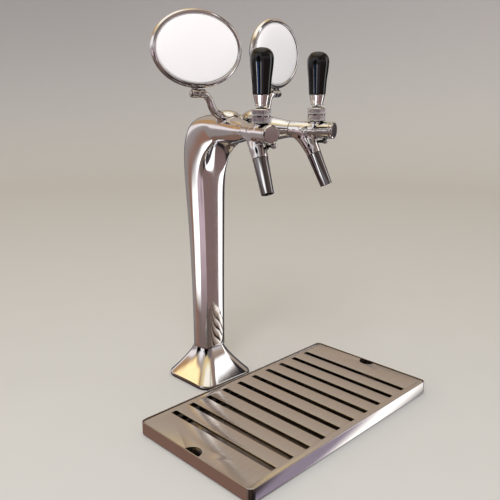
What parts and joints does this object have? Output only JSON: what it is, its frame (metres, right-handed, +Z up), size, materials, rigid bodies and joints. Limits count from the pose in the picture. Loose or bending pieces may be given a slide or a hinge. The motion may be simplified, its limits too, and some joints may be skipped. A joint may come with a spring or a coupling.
{
  "type": "beer tap tower",
  "caption": "Chromed twin-arm beer tower on a flared square foot, with tilting handles, oval light medallions on stems and a slotted drip tray.",
  "frame": {"origin": "middle of the foot's underside, on the counter", "axes": "+Z up the column, -Y towards the taps and the drip tray (the server's side), +X to the right as seen from in front of the taps' back, looking along +Y"},
  "size_m": [0.4, 0.3558, 0.5797],
  "materials": {
    "chrome": "mirror-polished chrome plate over a casting",
    "steel": "satin stainless steel",
    "brass": "plain turned brass",
    "black": "glossy black moulded grip",
    "white": "glossy white light diffuser",
    "board": "green lamp board",
    "rubber": "matt black rubber",
    "hose": "milky food-grade hose"
  },
  "bodies": {
    "tower": {"tower_body": "chrome", "foot_skirt": "chrome", "neck_ring": "brass", "base_plate": "steel", "base_screw_1": "steel", "base_screw_2": "steel", "base_screw_3": "steel", "base_screw_4": "steel", "foot_gasket": "rubber", "coolant_tube": "steel", "beer_line_left": "hose", "shank_left": "brass", "shank_nut_left": "brass", "tap_body_left": "chrome", "tap_cap_left": "chrome", "bonnet_left": "chrome", "nozzle_left": "chrome", "nozzle_seal_left": "rubber", "med_bracket_left": "chrome", "med_pin_left": "steel", "beer_line_right": "hose", "shank_right": "brass", "shank_nut_right": "brass", "tap_body_right": "chrome", "tap_cap_right": "chrome", "bonnet_right": "chrome", "nozzle_right": "chrome", "nozzle_seal_right": "rubber", "med_bracket_right": "chrome", "med_pin_right": "steel"},
    "handle_left": {"handle_left": "black", "handle_lever_left": "steel", "ferrule_left": "chrome"},
    "piston_left": {"piston_left": "steel"},
    "flow_lever_left": {"flow_lever_left": "chrome"},
    "medallion_left": {"med_housing_left": "chrome", "med_lamp_left": "board", "med_lens_left": "white"},
    "handle_right": {"handle_right": "black", "handle_lever_right": "steel", "ferrule_right": "chrome"},
    "piston_right": {"piston_right": "steel"},
    "flow_lever_right": {"flow_lever_right": "chrome"},
    "medallion_right": {"med_housing_right": "chrome", "med_lamp_right": "board", "med_lens_right": "white"},
    "tray": {"tray_pan": "steel", "tray_foot_1": "rubber", "tray_foot_2": "rubber", "tray_foot_3": "rubber", "tray_foot_4": "rubber"},
    "grid": {"tray_grid": "steel", "grid_leg_1": "rubber", "grid_leg_2": "rubber", "grid_leg_3": "rubber", "grid_leg_4": "rubber", "grid_leg_5": "rubber", "grid_leg_6": "rubber"}
  },
  "joints": [
    {"name": "handle_left_tilt", "type": "hinge", "parent": "tower", "child": "handle_left", "pos_m": [-0.05638, -0.17682, 0.446], "axis": [0.9537, -0.3007, 0], "range_deg": [0, 20]},
    {"name": "piston_left_slide", "type": "slide", "parent": "tower", "child": "piston_left", "axis": [-0.3007, -0.9537, 0], "range_m": [-0.0071, 0]},
    {"name": "flow_left_turn", "type": "hinge", "parent": "tower", "child": "flow_lever_left", "pos_m": [-0.05353, -0.16776, 0.4015], "axis": [0.9537, -0.3007, 0], "range_deg": [0, 50]},
    {"name": "medallion_left_tilt", "type": "hinge", "parent": "tower", "child": "medallion_left", "pos_m": [-0.0772, -0.0762, 0.47], "axis": [0.9767, -0.2147, 0], "range_deg": [-15, 15]},
    {"name": "handle_right_tilt", "type": "hinge", "parent": "tower", "child": "handle_right", "pos_m": [0.05638, -0.17682, 0.446], "axis": [0.9537, 0.3007, 0], "range_deg": [0, 20]},
    {"name": "piston_right_slide", "type": "slide", "parent": "tower", "child": "piston_right", "axis": [0.3007, -0.9537, 0], "range_m": [-0.0071, 0]},
    {"name": "flow_right_turn", "type": "hinge", "parent": "tower", "child": "flow_lever_right", "pos_m": [0.05353, -0.16776, 0.4015], "axis": [0.9537, 0.3007, 0], "range_deg": [0, 50]},
    {"name": "medallion_right_tilt", "type": "hinge", "parent": "tower", "child": "medallion_right", "pos_m": [0.0772, -0.0762, 0.47], "axis": [0.9767, 0.2147, 0], "range_deg": [-15, 15]},
    {"name": "tray_lift", "type": "slide", "parent": "tower", "child": "tray", "axis": [0, 0, 1], "range_m": [0, 0.06]},
    {"name": "grid_lift", "type": "slide", "parent": "tray", "child": "grid", "axis": [0, 0, 1], "range_m": [0, 0.05]}
  ],
  "couplings": [
    {"joint": "piston_left_slide", "follows": "handle_left_tilt", "m_per_rad": -0.0202},
    {"joint": "piston_right_slide", "follows": "handle_right_tilt", "m_per_rad": -0.0202}
  ]
}
